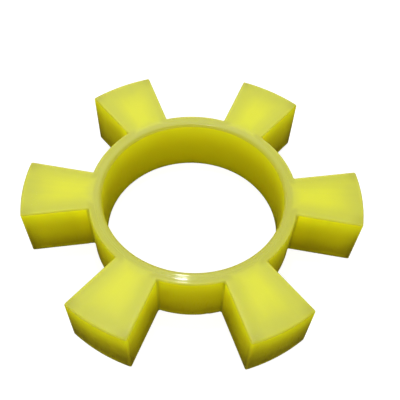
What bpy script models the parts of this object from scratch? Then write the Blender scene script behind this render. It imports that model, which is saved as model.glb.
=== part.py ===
"""Elastic spider of a jaw coupling.

A thin ring round a wide bore carries six flat-sided arms. Each arm fills the gap between a jaw of
one hub and a jaw of the other, so its two flanks take the torque and its two flat faces lie
between the hubs. The spider is cast in one piece, so it is one solid.

The coupling's axis is Z, the origin is on that axis halfway through the thickness, and one arm
points along +X. All lengths are in metres.
"""

import math

import bmesh
import bpy

NAME = "jaw_coupling_spider"

ARM_COUNT = 6
OUTER_DIAMETER = 0.120
RING_DIAMETER = 0.074
BORE_DIAMETER = 0.064
THICKNESS = 0.022
ARM_WIDTH_AT_TIP = 0.024
ARM_WIDTH_AT_RING = 0.0164

EDGE_RADIUS = 0.0005
EDGE_SEGMENTS = 2
SHARP_ANGLE = math.radians(30)

TIP_STEPS = 10
RING_STEPS = 14
BORE_STEPS = 120
WELD_DISTANCE = 0.00001

POLYURETHANE = (0.62, 0.60, 0.05, 1.0)
POLYURETHANE_ROUGHNESS = 0.42

PITCH = math.tau / ARM_COUNT
TIP_HALF_ANGLE = math.asin(ARM_WIDTH_AT_TIP / OUTER_DIAMETER)
RING_HALF_ANGLE = math.asin(ARM_WIDTH_AT_RING / RING_DIAMETER)


def clear_scene():
    """Remove whatever objects the open file holds."""
    for old in list(bpy.data.objects):
        bpy.data.objects.remove(old, do_unlink=True)


def new_collection(name):
    """A collection of this name, in the scene."""
    collection = bpy.data.collections.new(name)
    bpy.context.scene.collection.children.link(collection)
    return collection


def cast_polyurethane():
    """Satin yellow-green casting resin."""
    material = bpy.data.materials.new("cast_polyurethane")
    material.use_nodes = True
    surface = material.node_tree.nodes["Principled BSDF"]
    surface.inputs["Base Color"].default_value = POLYURETHANE
    surface.inputs["Roughness"].default_value = POLYURETHANE_ROUGHNESS
    surface.inputs["Metallic"].default_value = 0.0
    return material


def arc(radius, start, end, steps):
    """Points on a circle about the origin, from one angle to another, both ends included."""
    angles = [start + (end - start) * step / steps for step in range(steps + 1)]
    return [(radius * math.cos(angle), radius * math.sin(angle)) for angle in angles]


def outer_edge():
    """Each arm's tip, then the ring as far as the next arm, with straight flanks between them."""
    points = []
    for arm in range(ARM_COUNT):
        middle = arm * PITCH
        flank = middle + RING_HALF_ANGLE
        next_flank = middle + PITCH - RING_HALF_ANGLE
        points += arc(OUTER_DIAMETER / 2, middle - TIP_HALF_ANGLE, middle + TIP_HALF_ANGLE, TIP_STEPS)
        points += arc(RING_DIAMETER / 2, flank, next_flank, RING_STEPS)
    return points


def bore_edge():
    """The bore, as a full circle whose last point isn't repeated."""
    return arc(BORE_DIAMETER / 2, 0, math.tau, BORE_STEPS)[:-1]


def add_outline(curve, points):
    """A closed straight-line spline through the points."""
    spline = curve.splines.new("POLY")
    spline.points.add(len(points) - 1)
    for place, (x, y) in zip(spline.points, points):
        place.co = (x, y, 0.0, 1.0)
    spline.use_cyclic_u = True


def flat_plate(name, outlines, thickness):
    """A 2D curve filled between its outlines and extruded to both sides of the origin."""
    curve = bpy.data.curves.new(name, "CURVE")
    curve.dimensions = "2D"
    curve.fill_mode = "BOTH"
    curve.extrude = thickness / 2
    for points in outlines:
        add_outline(curve, points)
    return bpy.data.objects.new(name, curve)


def as_mesh(plate, collection):
    """The plate as a mesh object with its caps welded to its sides, in place of the curve."""
    collection.objects.link(plate)
    evaluated = plate.evaluated_get(bpy.context.evaluated_depsgraph_get())
    mesh = bpy.data.meshes.new_from_object(evaluated)
    shape = bmesh.new()
    shape.from_mesh(mesh)
    bmesh.ops.remove_doubles(shape, verts=shape.verts, dist=WELD_DISTANCE)
    bmesh.ops.recalc_face_normals(shape, faces=shape.faces)
    shape.to_mesh(mesh)
    shape.free()
    name = plate.name
    place = plate.matrix_world.copy()
    bpy.data.objects.remove(plate, do_unlink=True)
    solid = bpy.data.objects.new(name, mesh)
    solid.matrix_world = place
    collection.objects.link(solid)
    return solid


def round_edges(solid):
    """Break every sharp edge and corner, and shade the round walls smooth."""
    rounding = solid.modifiers.new("broken_edges", "BEVEL")
    rounding.limit_method = "ANGLE"
    rounding.angle_limit = SHARP_ANGLE
    rounding.width = EDGE_RADIUS
    rounding.segments = EDGE_SEGMENTS
    solid.data.shade_smooth()
    solid.data.set_sharp_from_angle(angle=SHARP_ANGLE)


def make_spider(collection):
    """The ring with its arms, cast in one piece."""
    plate = flat_plate("spider", [outer_edge(), bore_edge()], THICKNESS)
    spider = as_mesh(plate, collection)
    spider.data.materials.clear()
    spider.data.materials.append(cast_polyurethane())
    round_edges(spider)


clear_scene()
make_spider(new_collection(NAME))
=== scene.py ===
"""Looks of an elastic spider for a jaw coupling: one casting of translucent yellow polyurethane.

The casting is a thin ring with flat-sided arms. The ring's face is trued on a lathe, the walls keep
the skin of the mould, and every edge is slightly rounded.
"""

import math

import bpy
from mathutils import Matrix, Vector


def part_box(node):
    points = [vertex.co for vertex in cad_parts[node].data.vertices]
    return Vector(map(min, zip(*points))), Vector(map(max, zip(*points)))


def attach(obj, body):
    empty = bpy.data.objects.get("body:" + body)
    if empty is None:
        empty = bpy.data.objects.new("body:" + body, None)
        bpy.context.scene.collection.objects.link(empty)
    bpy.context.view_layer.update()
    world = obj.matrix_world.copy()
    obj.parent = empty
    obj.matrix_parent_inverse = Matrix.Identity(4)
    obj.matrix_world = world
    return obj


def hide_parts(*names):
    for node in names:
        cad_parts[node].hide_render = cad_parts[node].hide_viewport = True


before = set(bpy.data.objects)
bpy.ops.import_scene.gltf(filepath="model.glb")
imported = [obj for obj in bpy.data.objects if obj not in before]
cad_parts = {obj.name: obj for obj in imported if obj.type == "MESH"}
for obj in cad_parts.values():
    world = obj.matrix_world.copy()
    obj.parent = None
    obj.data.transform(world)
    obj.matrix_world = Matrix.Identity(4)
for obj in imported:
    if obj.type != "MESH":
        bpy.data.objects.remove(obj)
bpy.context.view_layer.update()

# ---------------------------------------------------------------- sizes, in metres and radians

CAD_NODE = "spider"
BODY = "root"
LOW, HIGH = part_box(CAD_NODE)

# The casting's outline.
ARM_COUNT = 6
OUTER_RADIUS = HIGH[0]
THICKNESS = HIGH[2] - LOW[2]
RING_RADIUS = 0.037
BORE_RADIUS = 0.032
ARM_WIDTH_AT_TIP = 0.024
ARM_WIDTH_AT_RING = 0.0164

# Rounded edges: the largest radius, and the share of it that each kind of edge gets.
EDGE_RADIUS = 0.0013
BORE_RIM_SHARE = 0.9
TIP_RIM_SHARE = 0.65
UPPER_RIM_SHARE = 0.55
LOWER_RIM_SHARE = 0.35
CORNER_SHARE = 0.5
EDGE_SEGMENTS = 3
SHARP_ANGLE = math.radians(30)

# How finely the flat faces are divided, with a narrow band along each rim of the ring.
RIM_BAND = 0.0016
TURNED_ROWS = 16
ARM_ROWS = 14
ARM_COLUMNS = 10
GAP_COLUMNS = 16

# Small unevenness of the skin.
SURFACE_SUBDIVISIONS = 1
SINK_DEPTH = 0.00012
SINK_REACH = 0.006
WAVE_DEPTH = 0.00004
WAVE_SCALE = 70.0
NICK_DEPTH = 0.00015
NICK_REACH = 0.0009
NICK_SCALE = 420.0
TURNED_DEPTH = 0.000035
TURNED_PITCH = 0.0007
TURNED_OVERRUN = 0.0004
NICKED = (0.62, 0.78)
FLAT_FACE = (0.9, 0.99)

# An edge nearer to mid-height than this share of the thickness stands upright, and one farther out
# than this share of the outer radius is at a tip.
HALFWAY_SHARE = 0.25
OUTERMOST_SHARE = 0.9
MERGE_DISTANCE = 0.00001
IN_PLANE = (1.0, 1.0, 0.0)

# The camera, measured from the middle of the upper face.
CAMERA_AZIMUTH = math.radians(-1.845)
CAMERA_ELEVATION = math.radians(58.89)
CAMERA_ROLL = math.radians(3.22)
CAMERA_DISTANCE = 0.2112
CAMERA_LEFT_OF_AXIS = -0.00233
CAMERA_BELOW_AXIS = 0.02362
CAMERA_LENS = 54.04
CAMERA_SHIFT_UP = 0.15
CAMERA_CLIP = (0.01, 50.0)

# ---------------------------------------------------------------- colours and strengths

# The arms' faces: a painted glow over their middles, painted shade with a painted sheen towards their
# edges, and painted shade at their outer corners.
FACE_GLOW_AT_CORE = (0.72, 0.73, 0.019, 1.0)
FACE_SHADE_AND_SHEEN_AT_EDGE = (0.57, 0.58, 0.046, 1.0)
FACE_SHADE_AT_CORNER = (0.42, 0.42, 0.032, 1.0)
# Painted shade on the rounded rims, and along the bore rim.
ROUNDED_RIM_SHADE = (0.45, 0.44, 0.006, 1.0)
BORE_RIM_SHADE = (0.40, 0.39, 0.006, 1.0)
# The lathed ring: its tone varies with the lathe marks, and its greyish, bluish cast is partly the
# turned finish and partly a painted sheen.
TURNED_PALE = (0.58, 0.59, 0.055, 1.0)
TURNED_DARK = (0.48, 0.485, 0.026, 1.0)
# The walls: painted light high up and painted shade lower down, darker and browner towards the bottom,
# in place of light that fades as it travels down from the faces.
WALL_LIT_HIGH = (0.85, 0.835, 0.004, 1.0)
WALL_HALF_LIT_MIDDLE = (0.69, 0.622, 0.0005, 1.0)
WALL_SHADED_LOW = (0.445, 0.36, 0.0005, 1.0)
# The bore's walls: the same painted light and shade by height, painted lighter low down where the bore
# gets less light.
BORE_HIGH = (0.78, 0.76, 0.003, 1.0)
BORE_MIDDLE = (0.735, 0.665, 0.0005, 1.0)
BORE_LOW = (0.83, 0.74, 0.0005, 1.0)
# Painted shade in the walls' corners and down the arms' tips.
WALL_SHADE_AT_CORNER = (0.22, 0.18, 0.001, 1.0)
SCUFFED = (0.62, 0.66, 0.10, 1.0)
DUSTY = (0.70, 0.70, 0.40, 1.0)

# Gloss, fine relief and the light that travels under the skin.
FACE_ROUGHNESS = 0.42
WALL_ROUGHNESS = 0.40
TURNED_ROUGHNESS = 0.36
WORN_ROUGHNESS = 0.14
GRAIN_ROUGHNESS = 0.12
GRAIN_HEIGHT = 0.35
SCRATCH_DEPTH = 0.5
GROOVE_HEIGHT = 3.0
BUMP_DEPTH = 0.000012
TURNED_COAT = 0.7
COAT_ROUGHNESS = 0.08
LIGHT_REACH = (1.0, 0.85, 0.15)
LIGHT_REACH_SCALE = 0.0035
REFRACTION = 1.5

# How strongly each effect covers what lies under it: painted shade at the faces' corners, on the
# rounded rims and on the ring's outer wall, a painted glow on the walls next to the ring, then scuffs
# and dust.
FACE_CORNER_SHADE_STRENGTH = 0.75
RIM_SHADE_STRENGTH = 0.85
OUTSIDE_SHADE = 0.22
ROOT_GLOW = 0.14
WALL_SCUFF = 0.06
FACE_SCUFF = 0.14
DUST_STRENGTH = 0.25

# A pair says where an effect starts and where it is full. Four numbers add its values at both.
CORE_FADE = (0.74, 1.02)
CORE_AT_TIP = 0.15
ROOT_BAND = (0.0020, 0.0038)
TIP_BAND = (0.965, 0.990)
FACE_TILT = (0.55, 0.97)
RIM_TILT_LOW = (0.08, 0.40)
RIM_TILT_HIGH = (0.80, 0.99)
UPPER_HALF = (0.0, 0.5)
LOWER_HALF = (0.45, 1.0)
TIP_SHADE = (0.0, 0.85, 0.05, 0.70)
CORNER_SHADE = (0.0, 0.75, 0.12, 0.50)
# Where a painted bright line along the walls' lower edge starts and ends.
LOW_EDGE_LIGHT_START = (0.88, 0.93)
LOW_EDGE_LIGHT_END = (0.95, 0.99, 0.4, 0.0)

# How far the painted glow reaches in from the edges and the painted shade from the arms' corners, and
# the casting's cloudy, streaky unevenness.
EDGE_REACH = 0.0085
CORNER_REACH = 0.0065
CLOUD_SCALE = 90.0
CLOUD_STRENGTH = 0.16
STREAK_TURNS = 20.0
STREAK_SPREAD = 24.0
STREAK_SCALE = 1.6
STREAK_STRENGTH = 0.36

# Lathe marks, and the thin zones by which the ring's walls are told apart.
FINE_PITCH = 0.00031
TURNED_FADE = 0.0032
OVERRUN_SHARE = 0.3
COARSE_SCALE = 1.7
GROOVE_STRENGTH = (0.3, 0.7)
WANDER_SCALE = 60.0
WANDER_LOW = 0.6
BORE_RIM_WIDTH = 0.0020
SKIN_WIDTH = 0.0008
NEARBY_REACH = 0.006

# Light wear.
SCUFF_WIDTH = 0.0007
SCUFF_SCALE = 180.0
SCUFF_PATCHES = (0.30, 0.65)
SCRATCH_TURNS = (0.5, 1.9, 2.7)
SCRATCH_SCALE = 260.0
SCRATCH_STRETCH = 14.0
SCRATCH_LINES = (0.70, 0.76)
DUST_SCALE = 900.0
SPECK_SIZES = (0.06, 0.16)
DUST_PATCH_SCALE = 45.0
DUST_PATCHES = (0.50, 0.70)
GRAIN_SCALE = 1500.0

# ---------------------------------------------------------------- floor and light

WHITE = (1.0, 1.0, 1.0, 1.0)
FLOOR_SIZE = 6.0
FLOOR_GLOW = 0.85
FLOOR_PAINT = (0.35, 0.35, 0.35, 1.0)
FLOOR_BOUNCE = (0.02, 0.02, 0.02, 1.0)
SKY_LOW = 1.35
SKY_HIGH = 0.53
SKY_HEIGHTS = (0.1, 0.9)

# Each light's name, place, aim, width, height and power in watts.
MIDDLE = (0.0, 0.0, 0.0)
SOFTBOXES = (
    ("front_fill", (0.0, -0.80, 0.50), MIDDLE, 1.60, 0.90, 2.2),
    ("left_fill", (-0.85, -0.10, 0.32), MIDDLE, 0.80, 0.70, 0.35),
    ("back_fill", (-0.12, 0.55, 0.58), MIDDLE, 0.50, 0.20, 0.30),
    ("high_lamp", (-0.0236, 0.150, 0.644), (0.0, 0.0, HIGH[2]), 0.015, 0.05, 0.95),
)


# ---------------------------------------------------------------- node trees

class Tree:
    """Short ways to add nodes to a node tree and join them."""

    def __init__(self, tree):
        self.tree = tree

    def node(self, kind, inputs=None, **settings):
        """A node with its settings, and each input given as a value or as the socket that feeds it."""
        made = self.tree.nodes.new(kind)
        for name, value in settings.items():
            setattr(made, name, value)
        for key, value in (inputs or {}).items():
            self.feed(made.inputs[key], value)
        return made

    def feed(self, socket, value):
        if isinstance(value, bpy.types.NodeSocket):
            self.tree.links.new(value, socket)
        else:
            socket.default_value = value

    def math(self, operation, first, second=0.0, third=0.0, clamp=False):
        made = self.node("ShaderNodeMath", {0: first, 1: second}, operation=operation, use_clamp=clamp)
        if operation == "MULTIPLY_ADD":
            self.feed(made.inputs[2], third)
        return made.outputs[0]

    def plus(self, first, second, clamp=False):
        return self.math("ADD", first, second, clamp=clamp)

    def minus(self, first, second):
        return self.math("SUBTRACT", first, second)

    def times(self, first, second):
        return self.math("MULTIPLY", first, second)

    def vector(self, operation, first, second=None, scale=None):
        made = self.node("ShaderNodeVectorMath", {0: first}, operation=operation)
        if second is not None:
            self.feed(made.inputs[1], second)
        if scale is not None:
            self.feed(made.inputs["Scale"], scale)
        return made.outputs["Value" if operation == "LENGTH" else "Vector"]

    def from_axis(self, place):
        """How far a place is from the coupling's axis."""
        return self.vector("LENGTH", self.vector("MULTIPLY", place, IN_PLANE))

    def noise(self, place, scale, detail):
        inputs = {"Vector": place, "Scale": scale, "Detail": detail}
        return self.node("ShaderNodeTexNoise", inputs).outputs[0]

    def blend(self, share, first, second):
        """A number that goes from first to second as share goes from 0 to 1."""
        return self.node("ShaderNodeMix", {0: share, 2: first, 3: second}, data_type="FLOAT").outputs[0]

    def ramp(self, value, low, high, start=0.0, end=1.0):
        """A smooth step from start to end as value goes from low to high."""
        inputs = {"Value": value, "From Min": low, "From Max": high, "To Min": start, "To Max": end}
        return self.node("ShaderNodeMapRange", inputs, interpolation_type="SMOOTHSTEP").outputs[0]

    def combine(self, x, y, z):
        return self.node("ShaderNodeCombineXYZ", {0: x, 1: y, 2: z}).outputs[0]

    def separate(self, value):
        return self.node("ShaderNodeSeparateXYZ", {0: value}).outputs


def new_group(name, kind, inputs, outputs):
    """A node group with named sockets, each input given as its name, type and default value."""
    group = bpy.data.node_groups.new(name, kind)
    for label, socket_type, default in inputs:
        socket = group.interface.new_socket(name=label, in_out="INPUT", socket_type=socket_type)
        if default is not None:
            socket.default_value = default
    for label, socket_type in outputs:
        group.interface.new_socket(name=label, in_out="OUTPUT", socket_type=socket_type)
    tree = Tree(group)
    start = tree.node("NodeGroupInput")
    end = tree.node("NodeGroupOutput")
    return tree, start.outputs, end.inputs


GEOMETRY, NUMBER, WHOLE = "NodeSocketGeometry", "NodeSocketFloat", "NodeSocketInt"
FINISH = "NodeSocketMaterial"


# ---------------------------------------------------------------- the casting's shape

def polar(tree, radius, angle):
    """The point at this radius and angle, in the plane of the ring."""
    across = tree.times(radius, tree.math("COSINE", angle))
    along = tree.times(radius, tree.math("SINE", angle))
    return tree.combine(across, along, 0.0)


def ruled_patch_group():
    """A flat patch ruled between two arcs about the axis."""
    tree, given, result = new_group(
        "ruled_patch",
        "GeometryNodeTree",
        [
            ("Inner Radius", NUMBER, 0.03),
            ("Inner Start", NUMBER, -0.2),
            ("Inner End", NUMBER, 0.2),
            ("Outer Radius", NUMBER, 0.06),
            ("Outer Start", NUMBER, -0.2),
            ("Outer End", NUMBER, 0.2),
            ("Rows", WHOLE, 1),
            ("Columns", WHOLE, 1),
        ],
        [("Patch", GEOMETRY)],
    )
    rows = tree.plus(given["Rows"], 1.0)
    columns = tree.plus(given["Columns"], 1.0)
    inputs = {"Size X": 1.0, "Size Y": 1.0, "Vertices X": rows, "Vertices Y": columns}
    grid = tree.node("GeometryNodeMeshGrid", inputs).outputs["Mesh"]
    place = tree.separate(tree.node("GeometryNodeInputPosition").outputs[0])
    outward = tree.plus(place["X"], 0.5)
    around = tree.plus(place["Y"], 0.5)
    ends = []
    for side in ("Inner", "Outer"):
        angle = tree.blend(around, given[f"{side} Start"], given[f"{side} End"])
        ends.append(polar(tree, given[f"{side} Radius"], angle))
    mixed = tree.node("ShaderNodeMix", {0: outward, 4: ends[0], 5: ends[1]}, data_type="VECTOR")
    inputs = {"Geometry": grid, "Position": mixed.outputs[1]}
    placed = tree.node("GeometryNodeSetPosition", inputs)
    tree.feed(result["Patch"], placed.outputs[0])
    return tree.tree


BLANK_SIZES = [
    ("Arms", WHOLE, ARM_COUNT),
    ("Outer Radius", NUMBER, OUTER_RADIUS),
    ("Ring Radius", NUMBER, RING_RADIUS),
    ("Bore Radius", NUMBER, BORE_RADIUS),
    ("Width at Tip", NUMBER, ARM_WIDTH_AT_TIP),
    ("Width at Ring", NUMBER, ARM_WIDTH_AT_RING),
    ("Thickness", NUMBER, THICKNESS),
    ("Rim Band", NUMBER, RIM_BAND),
]


def half_angle(tree, width, radius):
    """Half the angle that a straight width spans at a radius."""
    return tree.math("ARCSINE", tree.math("DIVIDE", width, tree.times(radius, 2.0)))


def sheet_of_one_arm(tree, given, patch_group):
    """The flat face of one arm with its share of the ring, from the arm's middle to the next flank."""
    names = ("Outer Radius", "Ring Radius", "Bore Radius", "Rim Band")
    outer, ring, bore, band = (given[name] for name in names)
    pitch = tree.math("DIVIDE", math.tau, given["Arms"])
    at_tip = half_angle(tree, given["Width at Tip"], outer)
    at_ring = half_angle(tree, given["Width at Ring"], ring)
    before_tip = tree.times(at_tip, -1.0)
    before_ring = tree.times(at_ring, -1.0)
    next_flank = tree.minus(pitch, at_ring)
    inner_band = tree.plus(bore, band)
    outer_band = tree.minus(ring, band)

    def patch(inner, outer_edge, inner_span, outer_span, rows, columns):
        inputs = {
            "Inner Radius": inner,
            "Inner Start": inner_span[0],
            "Inner End": inner_span[1],
            "Outer Radius": outer_edge,
            "Outer Start": outer_span[0],
            "Outer End": outer_span[1],
            "Rows": rows,
            "Columns": columns,
        }
        return tree.node("GeometryNodeGroup", inputs, node_tree=patch_group).outputs[0]

    under_arm = (before_ring, at_ring)
    in_gap = (at_ring, next_flank)
    wanted = [patch(ring, outer, under_arm, (before_tip, at_tip), ARM_ROWS, ARM_COLUMNS)]
    for inner, outer_edge, rows in (
        (bore, inner_band, 1),
        (inner_band, outer_band, TURNED_ROWS),
        (outer_band, ring, 1),
    ):
        wanted.append(patch(inner, outer_edge, under_arm, under_arm, rows, ARM_COLUMNS))
        wanted.append(patch(inner, outer_edge, in_gap, in_gap, rows, GAP_COLUMNS))
    joined = tree.node("GeometryNodeJoinGeometry")
    for made in wanted:
        tree.feed(joined.inputs[0], made)
    return joined.outputs[0], pitch


def merged(tree, geometry):
    inputs = {"Geometry": geometry, "Distance": MERGE_DISTANCE}
    return tree.node("GeometryNodeMergeByDistance", inputs).outputs[0]


def stored(tree, geometry, name, value, domain):
    """The geometry with a number stored on its points or edges."""
    inputs = {"Geometry": geometry, "Name": name, "Value": value}
    settings = {"data_type": "FLOAT", "domain": domain}
    return tree.node("GeometryNodeStoreNamedAttribute", inputs, **settings).outputs[0]


def sharp_edges(tree):
    """Picks the edges where two faces meet at more than a slight angle."""
    angle = tree.node("GeometryNodeInputMeshEdgeAngle").outputs["Unsigned Angle"]
    return tree.math("GREATER_THAN", angle, SHARP_ANGLE)


def edge_weights(tree, geometry):
    """Marks each sharp edge with its share of the edge radius, for the rounding that follows."""
    sharp = sharp_edges(tree)
    place = tree.node("GeometryNodeInputPosition").outputs[0]
    radius = tree.from_axis(place)
    height = tree.separate(place)["Z"]
    is_upper = tree.math("GREATER_THAN", height, THICKNESS * HALFWAY_SHARE)
    is_lower = tree.math("LESS_THAN", height, -THICKNESS * HALFWAY_SHARE)
    in_bore = tree.math("LESS_THAN", radius, (BORE_RADIUS + RING_RADIUS) / 2)
    at_tip = tree.math("GREATER_THAN", radius, OUTER_RADIUS - RIM_BAND / 2)
    upper = tree.blend(in_bore, UPPER_RIM_SHARE, BORE_RIM_SHARE)
    upper = tree.blend(at_tip, upper, TIP_RIM_SHARE)
    share = tree.blend(is_upper, CORNER_SHARE, upper)
    share = tree.blend(is_lower, share, LOWER_RIM_SHARE)
    return stored(tree, geometry, "bevel_weight_edge", tree.times(sharp, share), "EDGE")


def spider_blank_group():
    """The sharp-edged casting: one arm's sheet repeated about the axis, then given its thickness."""
    outputs = [("Blank", GEOMETRY)]
    tree, given, result = new_group("spider_blank", "GeometryNodeTree", BLANK_SIZES, outputs)
    sheet, pitch = sheet_of_one_arm(tree, given, ruled_patch_group())
    points = tree.node("GeometryNodePoints", {"Count": given["Arms"], "Position": (0.0, 0.0, 0.0)})
    index = tree.node("GeometryNodeInputIndex").outputs[0]
    turn = tree.combine(0.0, 0.0, tree.times(index, pitch))
    inputs = {"Points": points.outputs[0], "Instance": sheet, "Rotation": turn}
    copies = tree.node("GeometryNodeInstanceOnPoints", inputs).outputs[0]
    whole = merged(tree, tree.node("GeometryNodeRealizeInstances", {0: copies}).outputs[0])
    lift = tree.combine(0.0, 0.0, tree.times(given["Thickness"], 0.5))
    upper = tree.node("GeometryNodeSetPosition", {"Geometry": whole, "Offset": lift}).outputs[0]
    drop = tree.combine(0.0, 0.0, tree.times(given["Thickness"], -1.0))
    inputs = {"Mesh": upper, "Offset": drop, "Offset Scale": 1.0, "Individual": False}
    body = tree.node("GeometryNodeExtrudeMesh", inputs).outputs["Mesh"]
    lower = tree.node("GeometryNodeFlipFaces", {"Mesh": body}).outputs[0]
    joined = tree.node("GeometryNodeJoinGeometry")
    tree.feed(joined.inputs[0], lower)
    tree.feed(joined.inputs[0], upper)
    tree.feed(result["Blank"], edge_weights(tree, merged(tree, joined.outputs[0])))
    return tree.tree


def distance_attribute(tree, geometry, name, blank, selection):
    """Stores how far each point of the surface is from the selected edges of the sharp blank."""
    inputs = {"Geometry": blank, "Selection": selection}
    edges = tree.node("GeometryNodeSeparateGeometry", inputs, domain="EDGE").outputs[0]
    near = tree.node("GeometryNodeProximity", {0: edges}, target_element="EDGES")
    return stored(tree, geometry, name, near.outputs["Distance"], "POINT")


def measured_from_edges(tree, given, geometry, blank_group):
    """The surface with its distances from every sharp edge and from the arms' outer corners alone."""
    inputs = {name: given[name] for name, _, _ in BLANK_SIZES}
    blank = tree.node("GeometryNodeGroup", inputs, node_tree=blank_group).outputs[0]
    sharp = sharp_edges(tree)
    place = tree.node("GeometryNodeInputPosition").outputs[0]
    height = tree.math("ABSOLUTE", tree.separate(place)["Z"])
    halfway = tree.math("LESS_THAN", height, tree.times(given["Thickness"], HALFWAY_SHARE))
    far_out = tree.times(given["Outer Radius"], OUTERMOST_SHARE)
    outermost = tree.math("GREATER_THAN", tree.vector("LENGTH", place), far_out)
    measured = distance_attribute(tree, geometry, "edge_distance", blank, sharp)
    outer_corner = tree.times(sharp, tree.times(halfway, outermost))
    return distance_attribute(tree, measured, "corner_distance", blank, outer_corner)


def spider_surface_group(blank_group):
    """The small unevenness of a real casting, on the rounded blank."""
    tree, given, result = new_group(
        "spider_surface",
        "GeometryNodeTree",
        [
            ("Rounded Blank", GEOMETRY, None),
            *BLANK_SIZES,
            ("Subdivisions", WHOLE, SURFACE_SUBDIVISIONS),
            ("Sink Depth", NUMBER, SINK_DEPTH),
            ("Sink Reach", NUMBER, SINK_REACH),
            ("Wave Depth", NUMBER, WAVE_DEPTH),
            ("Wave Scale", NUMBER, WAVE_SCALE),
            ("Nick Depth", NUMBER, NICK_DEPTH),
            ("Nick Reach", NUMBER, NICK_REACH),
            ("Nick Scale", NUMBER, NICK_SCALE),
            ("Turned Depth", NUMBER, TURNED_DEPTH),
            ("Turned Pitch", NUMBER, TURNED_PITCH),
            ("Finish", FINISH, None),
        ],
        [("Casting", GEOMETRY)],
    )
    inputs = {"Mesh": given["Rounded Blank"], "Level": given["Subdivisions"]}
    fine = tree.node("GeometryNodeSubdivideMesh", inputs).outputs[0]
    measured = measured_from_edges(tree, given, fine, blank_group)
    inputs = {"Name": "edge_distance"}
    named = tree.node("GeometryNodeInputNamedAttribute", inputs, data_type="FLOAT")
    edge_distance = named.outputs["Attribute"]
    place = tree.node("GeometryNodeInputPosition").outputs[0]
    normal = tree.node("GeometryNodeInputNormal").outputs[0]
    depth_in = tree.ramp(edge_distance, EDGE_RADIUS, given["Sink Reach"])
    sink = tree.times(depth_in, given["Sink Depth"])
    wave = tree.times(tree.noise(place, given["Wave Scale"], 1.0), given["Wave Depth"])
    chipped = tree.ramp(tree.noise(place, given["Nick Scale"], 2.0), *NICKED)
    at_edge = tree.ramp(edge_distance, 0.0, given["Nick Reach"], 1.0, 0.0)
    nick = tree.times(tree.times(chipped, at_edge), given["Nick Depth"])
    radius = tree.from_axis(place)
    phase = tree.times(tree.math("DIVIDE", radius, given["Turned Pitch"]), math.tau)
    groove = tree.math("MULTIPLY_ADD", tree.math("SINE", phase), 0.5, 0.5)
    past_ring = tree.plus(given["Ring Radius"], TURNED_OVERRUN)
    on_ring = tree.ramp(radius, given["Ring Radius"], past_ring, 1.0, 0.0)
    on_face = tree.ramp(tree.math("ABSOLUTE", tree.separate(normal)["Z"]), *FLAT_FACE)
    turned = tree.times(tree.times(on_ring, on_face), given["Turned Depth"])
    cut = tree.times(groove, turned)
    inwards = tree.plus(tree.plus(sink, wave), tree.plus(nick, cut))
    offset = tree.vector("SCALE", normal, scale=tree.times(inwards, -1.0))
    uneven = tree.node("GeometryNodeSetPosition", {"Geometry": measured, "Offset": offset}).outputs[0]
    inputs = {"Geometry": uneven, "Shade Smooth": True}
    smooth = tree.node("GeometryNodeSetShadeSmooth", inputs).outputs[0]
    whole = tree.node("GeometryNodeRealizeInstances", {0: smooth}).outputs[0]
    inputs = {"Geometry": whole, "Material": given["Finish"]}
    painted = tree.node("GeometryNodeSetMaterial", inputs).outputs[0]
    tree.feed(result["Casting"], painted)
    return tree.tree


def add_nodes_modifier(piece, group, values):
    """A Geometry Nodes modifier with its inputs set by their identifiers."""
    modifier = piece.modifiers.new(group.name, "NODES")
    modifier.node_group = group
    for item in group.interface.items_tree:
        if item.item_type == "SOCKET" and item.in_out == "INPUT" and item.name in values:
            modifier[item.identifier] = values[item.name]


def as_plain_mesh(piece, name):
    """The evaluated piece as a mesh of its own, with no modifiers left."""
    graph = bpy.context.evaluated_depsgraph_get()
    mesh = bpy.data.meshes.new_from_object(piece.evaluated_get(graph), depsgraph=graph)
    mesh.name = name
    bpy.data.objects.remove(piece, do_unlink=True)
    made = bpy.data.objects.new(name, mesh)
    bpy.context.scene.collection.objects.link(made)
    return made


def cast_spider(finish):
    """The whole casting: the blank, its rounded edges, and its surface."""
    blank_group = spider_blank_group()
    piece = bpy.data.objects.new("spider_blank", bpy.data.meshes.new("spider_blank"))
    bpy.context.scene.collection.objects.link(piece)
    sizes = {name: default for name, _, default in BLANK_SIZES}
    add_nodes_modifier(piece, blank_group, sizes)
    rounding = piece.modifiers.new("broken_edges", "BEVEL")
    rounding.limit_method = "WEIGHT"
    rounding.width = EDGE_RADIUS
    rounding.segments = EDGE_SEGMENTS
    add_nodes_modifier(piece, spider_surface_group(blank_group), {**sizes, "Finish": finish})
    return as_plain_mesh(piece, "spider_casting")


# ---------------------------------------------------------------- finishes

def stored_distance(tree, name):
    """A distance that the shape's own nodes have stored on the skin."""
    return tree.node("ShaderNodeAttribute", attribute_name=name).outputs["Fac"]


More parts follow.
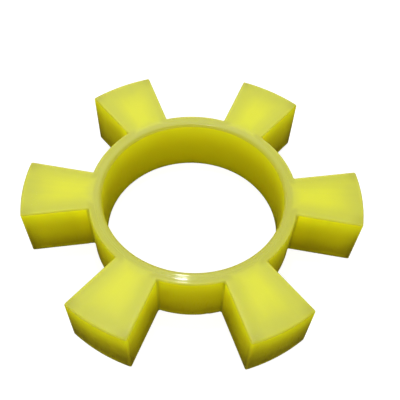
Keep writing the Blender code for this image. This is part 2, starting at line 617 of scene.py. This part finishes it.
def depth_group():
    """Masks for the painted glow and shade: from a point's distance to the edges and the arms' corners,
    its height and how it faces.
    """
    tree, given, result = new_group(
        "casting_depth",
        "ShaderNodeTree",
        [
            ("Edge Reach", NUMBER, EDGE_REACH),
            ("Corner Reach", NUMBER, CORNER_REACH),
            ("Thickness", NUMBER, THICKNESS),
            ("Outer Radius", NUMBER, OUTER_RADIUS),
            ("Unevenness", NUMBER, CLOUD_STRENGTH),
            ("Streakiness", NUMBER, STREAK_STRENGTH),
        ],
        [(name, NUMBER) for name in ("Core", "Body", "Root", "Tip", "Down", "Up Facing", "Rounding")],
    )
    place = tree.node("ShaderNodeTexCoord").outputs
    edge = stored_distance(tree, "edge_distance")
    corner = stored_distance(tree, "corner_distance")
    cloud = tree.noise(place["Object"], CLOUD_SCALE, 2.0)
    shift = tree.times(tree.minus(cloud, 0.5), given["Unevenness"])
    parts = tree.separate(place["Object"])
    angle = tree.math("ARCTAN2", parts["Y"], parts["X"])
    across = tree.times(tree.math("SINE", angle), STREAK_TURNS)
    flow = tree.combine(across, tree.math("COSINE", angle), 0.0)
    flow = tree.vector("ADD", flow, tree.vector("SCALE", place["Object"], scale=STREAK_SPREAD))
    streak = tree.noise(flow, STREAK_SCALE, 2.0)
    streak = tree.times(tree.minus(streak, 0.5), given["Streakiness"])
    share = tree.math("DIVIDE", tree.from_axis(place["Object"]), given["Outer Radius"])
    # The painted glow is full away from the edges and fades towards the tips; the casting's cloudy,
    # streaky unevenness is added to it.
    core = tree.ramp(edge, 0.0, given["Edge Reach"])
    core = tree.times(core, tree.ramp(share, *CORE_FADE, 1.0, CORE_AT_TIP))
    tree.feed(result["Core"], tree.plus(core, tree.plus(shift, streak), clamp=True))
    tree.feed(result["Root"], tree.ramp(edge, *ROOT_BAND))
    tree.feed(result["Body"], tree.ramp(corner, 0.0, given["Corner Reach"]))
    tree.feed(result["Tip"], tree.ramp(share, *TIP_BAND))
    down = tree.minus(0.5, tree.math("DIVIDE", parts["Z"], given["Thickness"]))
    tree.feed(result["Down"], tree.plus(down, shift, clamp=True))
    upright = tree.math("ABSOLUTE", tree.separate(place["Normal"])["Z"])
    tree.feed(result["Up Facing"], tree.ramp(upright, *FACE_TILT))
    off_wall = tree.ramp(upright, *RIM_TILT_LOW)
    off_face = tree.ramp(upright, *RIM_TILT_HIGH, 1.0, 0.0)
    tree.feed(result["Rounding"], tree.times(off_wall, off_face))
    return tree.tree


def turning_group():
    """Fine rings left by the lathe where it faced the casting, and masks for the ring's walls."""
    tree, given, result = new_group(
        "turning_marks",
        "ShaderNodeTree",
        [
            ("Ring Radius", NUMBER, RING_RADIUS),
            ("Coarse Pitch", NUMBER, TURNED_PITCH),
            ("Fine Pitch", NUMBER, FINE_PITCH),
            ("Bore Radius", NUMBER, BORE_RADIUS),
            ("Fade", NUMBER, TURNED_FADE),
        ],
        [(name, NUMBER) for name in ("Ring", "Turned", "Grooves", "Tone", "Bore", "Outside", "Nearby")],
    )
    ring, bore = given["Ring Radius"], given["Bore Radius"]
    place = tree.node("ShaderNodeTexCoord").outputs["Object"]
    flat = tree.vector("MULTIPLY", place, IN_PLANE)
    radius = tree.vector("LENGTH", flat)
    wander = tree.noise(flat, WANDER_SCALE, 1.0)
    fine = tree.math("DIVIDE", radius, given["Fine Pitch"])
    fine = tree.math("SINE", tree.times(fine, math.tau))
    coarse = tree.math("DIVIDE", radius, given["Coarse Pitch"])
    inputs = {"W": coarse, "Scale": COARSE_SCALE}
    strength = tree.node("ShaderNodeTexNoise", inputs, noise_dimensions="1D").outputs[0]
    cut = tree.math("MULTIPLY_ADD", fine, 0.5, 0.5)
    grooves = tree.times(cut, tree.ramp(strength, *GROOVE_STRENGTH))
    past = tree.plus(ring, tree.times(given["Fade"], OVERRUN_SHARE))
    turned = tree.ramp(radius, tree.minus(ring, given["Fade"]), past, 1.0, 0.0)
    past_rim = tree.ramp(radius, bore, tree.plus(bore, BORE_RIM_WIDTH))
    tree.feed(result["Ring"], turned)
    tree.feed(result["Turned"], tree.times(turned, past_rim))
    tree.feed(result["Grooves"], tree.times(grooves, tree.blend(wander, WANDER_LOW, 1.0)))
    tree.feed(result["Tone"], tree.minus(strength, 0.5))
    thin = tree.plus(bore, SKIN_WIDTH)
    tree.feed(result["Bore"], tree.ramp(radius, bore, thin, 1.0, 0.0))
    outermost = tree.plus(ring, SKIN_WIDTH)
    outside = tree.ramp(radius, ring, outermost, 1.0, 0.0)
    nearby = tree.ramp(radius, outermost, tree.plus(outermost, NEARBY_REACH), 1.0, 0.0)
    beyond = tree.math("GREATER_THAN", radius, outermost)
    tree.feed(result["Nearby"], tree.times(nearby, beyond))
    tree.feed(result["Outside"], tree.times(outside, tree.ramp(radius, thin, ring)))
    return tree.tree


def wear_group():
    """Light wear: pale scuffed edges, short scratches, a little settled dust and a fine grain."""
    tree, given, result = new_group(
        "handling_wear",
        "ShaderNodeTree",
        [
            ("Edge Width", NUMBER, SCUFF_WIDTH),
            ("Scratch Scale", NUMBER, SCRATCH_SCALE),
            ("Scratch Stretch", NUMBER, SCRATCH_STRETCH),
            ("Dust Scale", NUMBER, DUST_SCALE),
        ],
        [("Edge", NUMBER), ("Scratches", NUMBER), ("Dust", NUMBER), ("Grain", NUMBER)],
    )
    place = tree.node("ShaderNodeTexCoord").outputs["Object"]
    edge = stored_distance(tree, "edge_distance")
    patches = tree.noise(place, SCUFF_SCALE, 3.0)
    rim = tree.ramp(edge, 0.0, given["Edge Width"], 1.0, 0.0)
    tree.feed(result["Edge"], tree.times(rim, tree.ramp(patches, *SCUFF_PATCHES)))
    scratches = []
    for turn in SCRATCH_TURNS:
        inputs = {"Vector": place, "Angle": turn}
        turned = tree.node("ShaderNodeVectorRotate", inputs, rotation_type="Z_AXIS").outputs[0]
        stretch = tree.combine(1.0, given["Scratch Stretch"], 1.0)
        lines = tree.noise(tree.vector("MULTIPLY", turned, stretch), given["Scratch Scale"], 0.0)
        scratches.append(tree.ramp(lines, *SCRATCH_LINES))
    both = tree.math("MAXIMUM", scratches[0], scratches[1])
    tree.feed(result["Scratches"], tree.math("MAXIMUM", both, scratches[2]))
    specks = tree.node("ShaderNodeTexVoronoi", {"Vector": place, "Scale": given["Dust Scale"]})
    near = tree.ramp(specks.outputs["Distance"], *SPECK_SIZES, 1.0, 0.0)
    settled = tree.noise(place, DUST_PATCH_SCALE, 2.0)
    tree.feed(result["Dust"], tree.times(near, tree.ramp(settled, *DUST_PATCHES)))
    tree.feed(result["Grain"], tree.noise(place, GRAIN_SCALE, 2.0))
    return tree.tree


def mix_colour(tree, share, first, second):
    """A colour that goes from first to second as share goes from 0 to 1."""
    return tree.node("ShaderNodeMix", {0: share, 6: first, 7: second}, data_type="RGBA").outputs[2]


def face_colour(tree, depth, turning):
    """The flat faces: a painted glow over the arms' middles, painted shade with a painted sheen at
    their edges, painted shade at the arms' outer corners, and lathed on the ring.
    """
    # Painted glow over the arms' middles, painted shade with a painted sheen towards their edges.
    face = mix_colour(tree, depth["Core"], FACE_SHADE_AND_SHEEN_AT_EDGE, FACE_GLOW_AT_CORE)
    cornered = tree.minus(1.0, depth["Body"])
    # Painted shade on the faces near the arms' outer corners.
    face = mix_colour(tree, tree.times(cornered, FACE_CORNER_SHADE_STRENGTH), face, FACE_SHADE_AT_CORNER)
    tone = tree.math("MULTIPLY_ADD", turning["Tone"], 0.5, 0.5)
    # The lathed tone; its bluish cast is partly a painted sheen.
    lathed = mix_colour(tree, tone, TURNED_DARK, TURNED_PALE)
    # Painted shade on the ring's face along the bore rim.
    lathed = mix_colour(tree, turning["Turned"], BORE_RIM_SHADE, lathed)
    # Where the ring runs under an arm, it takes the arm's face colour with its painted glow.
    thin = tree.math("MULTIPLY_ADD", depth["Root"], -1.0, 1.0)
    return mix_colour(tree, tree.times(turning["Ring"], thin), face, lathed)


def wall_colour(tree, depth, turning):
    """The upright walls: painted light below the upper rim and next to the ring, painted shade
    downwards and into the corners, and a painted bright line along the lower edge.
    """
    down = depth["Down"]
    cornered = tree.minus(1.0, depth["Body"])
    # The bore's walls are painted lighter low down, in place of light that they lack.
    low = mix_colour(tree, turning["Bore"], WALL_SHADED_LOW, BORE_LOW)
    middle = mix_colour(tree, turning["Bore"], WALL_HALF_LIT_MIDDLE, BORE_MIDDLE)
    high = mix_colour(tree, turning["Bore"], WALL_LIT_HIGH, BORE_HIGH)
    # Painted light high on the walls, painted shade lower down.
    wall = mix_colour(tree, tree.ramp(down, *UPPER_HALF), high, middle)
    wall = mix_colour(tree, tree.ramp(down, *LOWER_HALF), wall, low)
    wall = mix_colour(tree, tree.times(turning["Outside"], OUTSIDE_SHADE), wall, WALL_SHADED_LOW)
    # Painted glow on the walls next to the ring, where light seeps through the casting.
    lift = tree.math("MULTIPLY_ADD", turning["Nearby"], ROOT_GLOW, 1.0)
    wall = tree.vector("SCALE", wall, scale=lift)
    # Painted shade down the arms' tips and into the walls' corners.
    shaded = tree.times(depth["Tip"], tree.ramp(down, *TIP_SHADE))
    wall = mix_colour(tree, shaded, wall, WALL_SHADE_AT_CORNER)
    painted_corner_shade = tree.times(cornered, tree.ramp(down, *CORNER_SHADE))
    wall = mix_colour(tree, painted_corner_shade, wall, WALL_SHADE_AT_CORNER)
    # A painted bright line along the walls' lower edge, away from the corners.
    low_edge_light = tree.times(tree.ramp(down, *LOW_EDGE_LIGHT_START), tree.ramp(down, *LOW_EDGE_LIGHT_END))
    return mix_colour(tree, tree.times(low_edge_light, depth["Body"]), wall, WALL_HALF_LIT_MIDDLE)


def skin_colour(tree, depth, turning, wear):
    """The whole skin: faces, walls and the painted shade on the rounded rims between them, with its
    light wear.
    """
    wall = wall_colour(tree, depth, turning)
    skin = mix_colour(tree, depth["Up Facing"], wall, face_colour(tree, depth, turning))
    # The rounded rims get painted shade; on the ring, the painted shade of the bore rim.
    rim = mix_colour(tree, turning["Ring"], ROUNDED_RIM_SHADE, BORE_RIM_SHADE)
    skin = mix_colour(tree, tree.times(depth["Rounding"], RIM_SHADE_STRENGTH), skin, rim)
    scuff = tree.times(wear["Edge"], tree.blend(depth["Up Facing"], WALL_SCUFF, FACE_SCUFF))
    skin = mix_colour(tree, scuff, skin, SCUFFED)
    return mix_colour(tree, tree.times(wear["Dust"], DUST_STRENGTH), skin, DUSTY)


def skin_roughness(tree, depth, wear, turned):
    rough = tree.blend(depth["Up Facing"], WALL_ROUGHNESS, FACE_ROUGHNESS)
    rough = tree.blend(turned, rough, TURNED_ROUGHNESS)
    worn = tree.math("MAXIMUM", tree.math("MAXIMUM", wear["Edge"], wear["Scratches"]), wear["Dust"])
    rough = tree.plus(rough, tree.times(worn, WORN_ROUGHNESS))
    return tree.plus(rough, tree.times(tree.minus(wear["Grain"], 0.5), GRAIN_ROUGHNESS))


def skin_height(tree, turning, wear, turned):
    height = tree.times(wear["Grain"], GRAIN_HEIGHT)
    height = tree.minus(height, tree.times(wear["Scratches"], SCRATCH_DEPTH))
    grooves = tree.times(turning["Grooves"], turned)
    return tree.plus(height, tree.times(grooves, GROOVE_HEIGHT))


def cast_polyurethane():
    """Translucent yellow polyurethane, with a painted glow in the arms' middles, painted shade and a
    painted sheen at the faces' edges, and painted shade darkening down its walls.
    """
    material = bpy.data.materials.new("cast_polyurethane")
    material.use_nodes = True
    tree = Tree(material.node_tree)
    surface = material.node_tree.nodes["Principled BSDF"]
    depth = tree.node("ShaderNodeGroup", node_tree=depth_group()).outputs
    turning = tree.node("ShaderNodeGroup", node_tree=turning_group()).outputs
    wear = tree.node("ShaderNodeGroup", node_tree=wear_group()).outputs
    turned = tree.times(turning["Turned"], depth["Up Facing"])
    height = skin_height(tree, turning, wear, turned)
    bump = tree.node("ShaderNodeBump", {"Height": height, "Strength": 1.0, "Distance": BUMP_DEPTH})
    tree.feed(surface.inputs["Base Color"], skin_colour(tree, depth, turning, wear))
    tree.feed(surface.inputs["Roughness"], skin_roughness(tree, depth, wear, turned))
    tree.feed(surface.inputs["Normal"], bump.outputs[0])
    tree.feed(surface.inputs["Coat Weight"], tree.times(turned, TURNED_COAT))
    surface.inputs["Coat Roughness"].default_value = COAT_ROUGHNESS
    surface.subsurface_method = "RANDOM_WALK"
    surface.inputs["Subsurface Weight"].default_value = 1.0
    surface.inputs["Subsurface Radius"].default_value = LIGHT_REACH
    surface.inputs["Subsurface Scale"].default_value = LIGHT_REACH_SCALE
    surface.inputs["IOR"].default_value = REFRACTION
    return material


# ---------------------------------------------------------------- floor, light and camera

def studio_floor():
    """A plain white floor that looks evenly lit and throws little light back under the casting."""
    mesh = bpy.data.meshes.new("floor")
    half = FLOOR_SIZE / 2
    corners = [(x, y, LOW[2]) for x, y in ((-half, -half), (half, -half), (half, half), (-half, half))]
    mesh.from_pydata(corners, [], [(0, 1, 2, 3)])
    floor = bpy.data.objects.new("floor", mesh)
    bpy.context.scene.collection.objects.link(floor)
    material = bpy.data.materials.new("white_floor")
    material.use_nodes = True
    material.node_tree.nodes.clear()
    tree = Tree(material.node_tree)
    glow = tree.node("ShaderNodeEmission", {"Color": WHITE, "Strength": FLOOR_GLOW})
    paint = tree.node("ShaderNodeBsdfDiffuse", {"Color": FLOOR_PAINT})
    seen = tree.node("ShaderNodeAddShader", {0: glow.outputs[0], 1: paint.outputs[0]})
    dim = tree.node("ShaderNodeBsdfDiffuse", {"Color": FLOOR_BOUNCE})
    to_camera = tree.node("ShaderNodeLightPath").outputs["Is Camera Ray"]
    inputs = {0: to_camera, 1: dim.outputs[0], 2: seen.outputs[0]}
    chosen = tree.node("ShaderNodeMixShader", inputs)
    tree.node("ShaderNodeOutputMaterial", {"Surface": chosen.outputs[0]})
    mesh.materials.append(material)


def studio_world():
    """White behind the casting, and soft light all round it that is strongest low down."""
    world = bpy.data.worlds.new("studio")
    world.use_nodes = True
    world.node_tree.nodes.clear()
    tree = Tree(world.node_tree)
    to_camera = tree.node("ShaderNodeLightPath").outputs["Is Camera Ray"]
    direction = tree.node("ShaderNodeTexCoord").outputs["Generated"]
    soft = tree.ramp(tree.separate(direction)["Z"], *SKY_HEIGHTS, SKY_LOW, SKY_HIGH)
    strength = tree.blend(to_camera, soft, 1.0)
    back = tree.node("ShaderNodeBackground", {"Color": WHITE, "Strength": strength})
    tree.node("ShaderNodeOutputWorld", {"Surface": back.outputs[0]})
    bpy.context.scene.world = world


def softbox(name, place, aim, width, height, power):
    """A rectangular light at a place, turned towards a point."""
    light = bpy.data.lights.new(name, "AREA")
    light.shape = "RECTANGLE"
    light.size = width
    light.size_y = height
    light.energy = power
    lamp = bpy.data.objects.new(name, light)
    lamp.location = place
    lamp.rotation_mode = "QUATERNION"
    lamp.rotation_quaternion = (Vector(aim) - Vector(place)).to_track_quat("-Z", "Y")
    bpy.context.scene.collection.objects.link(lamp)


def product_camera():
    """Looks down at the casting from in front, a little turned."""
    azimuth, elevation, roll = CAMERA_AZIMUTH, CAMERA_ELEVATION, CAMERA_ROLL
    back = Vector((
        math.sin(azimuth) * math.cos(elevation),
        -math.cos(azimuth) * math.cos(elevation),
        math.sin(elevation),
    ))
    level = Vector((math.cos(azimuth), math.sin(azimuth), 0.0))
    upright = back.cross(level)
    right = math.cos(roll) * level + math.sin(roll) * upright
    up = back.cross(right)
    place = Vector((0.0, 0.0, HIGH[2])) + CAMERA_DISTANCE * back
    place -= CAMERA_LEFT_OF_AXIS * right + CAMERA_BELOW_AXIS * up
    data = bpy.data.cameras.new("product_camera")
    data.lens = CAMERA_LENS
    data.shift_y = CAMERA_SHIFT_UP
    data.clip_start, data.clip_end = CAMERA_CLIP
    camera = bpy.data.objects.new("product_camera", data)
    turn = Matrix((right, up, back)).transposed().to_4x4()
    camera.matrix_world = Matrix.Translation(place) @ turn
    bpy.context.scene.collection.objects.link(camera)
    bpy.context.scene.camera = camera


# ---------------------------------------------------------------- the scene

product_camera()
studio_floor()
studio_world()
for lamp_settings in SOFTBOXES:
    softbox(*lamp_settings)
bpy.context.scene.view_settings.view_transform = "Standard"

casting = cast_spider(cast_polyurethane())
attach(casting, BODY)
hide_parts(CAD_NODE)
